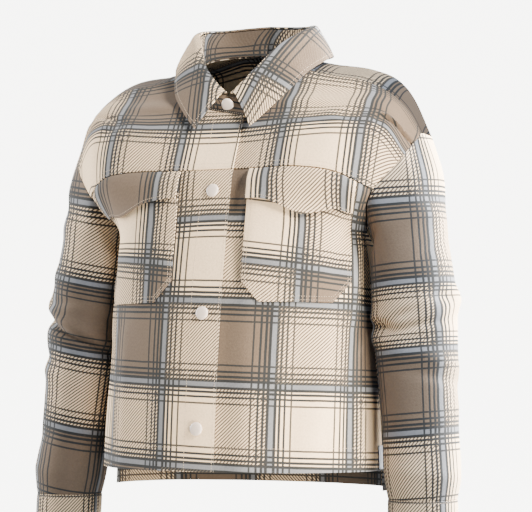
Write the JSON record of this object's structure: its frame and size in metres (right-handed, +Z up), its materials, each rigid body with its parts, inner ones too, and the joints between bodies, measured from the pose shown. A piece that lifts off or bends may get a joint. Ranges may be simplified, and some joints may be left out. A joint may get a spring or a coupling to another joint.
{
  "type": "shacket",
  "caption": "Cropped plaid shirt jacket with shirt collar, drop shoulders, flapped patch chest pockets, snap front and longer vented back, filled out as if worn.",
  "frame": {"origin": "between the shoulders, where the garment is held up by its wearer, at the height where the neckline meets the shoulder seam", "axes": "+Z up, the front looks along -Y, the wearer's left is +X"},
  "size_m": [0.646, 0.2881, 0.7292],
  "materials": {
    "flannel": "brushed woven plaid in cream, tan and charcoal",
    "snap_cap": "satin, pale pinkish cream",
    "label": "plain woven tape"
  },
  "bodies": {
    "root": {"back": "flannel", "collar_fall": "flannel", "collar_stand": "flannel", "cuff_left": "flannel", "cuff_right": "flannel", "flap_left": "flannel", "flap_right": "flannel", "front_left": "flannel", "front_right": "flannel", "label": "label", "pocket_left": "flannel", "pocket_right": "flannel", "sleeve_left": "flannel", "sleeve_right": "flannel", "snap_1": "snap_cap", "snap_2": "snap_cap", "snap_3": "snap_cap", "snap_4": "snap_cap", "yoke_back": "flannel", "yoke_front_left": "flannel", "yoke_front_right": "flannel"}
  },
  "joints": []
}
